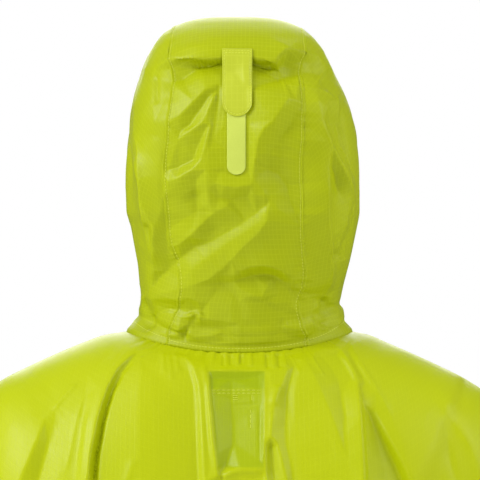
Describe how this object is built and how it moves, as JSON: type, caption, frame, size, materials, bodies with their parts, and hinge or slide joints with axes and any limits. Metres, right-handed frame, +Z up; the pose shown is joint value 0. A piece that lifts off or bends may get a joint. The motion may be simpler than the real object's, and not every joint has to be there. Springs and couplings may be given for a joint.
{
  "type": "rain poncho",
  "caption": "Rain poncho in its worn form, with a panelled hood, a tab-and-strip hood adjuster, and a wide front and back that hang from the shoulders and are open low at the sides.",
  "frame": {"origin": "middle of the neck, level with the neck ends of the shoulder seams, where the poncho rests on its wearer", "axes": "+Z up, +X to the wearer's left, +Y to the wearer's back"},
  "size_m": [0.9133, 0.5835, 1.3485],
  "materials": {
    "coated_ripstop": "lime-yellow coated ripstop, satin to glossy",
    "loop_tape": "paler lime loop tape, matte"
  },
  "bodies": {
    "root": {"hood_centre_panel": "coated_ripstop", "hood_side_left": "coated_ripstop", "hood_side_right": "coated_ripstop", "hood_tab": "coated_ripstop", "hood_loop_strip": "loop_tape", "back_body": "coated_ripstop", "front_body": "coated_ripstop", "back_patch": "coated_ripstop"}
  },
  "joints": []
}
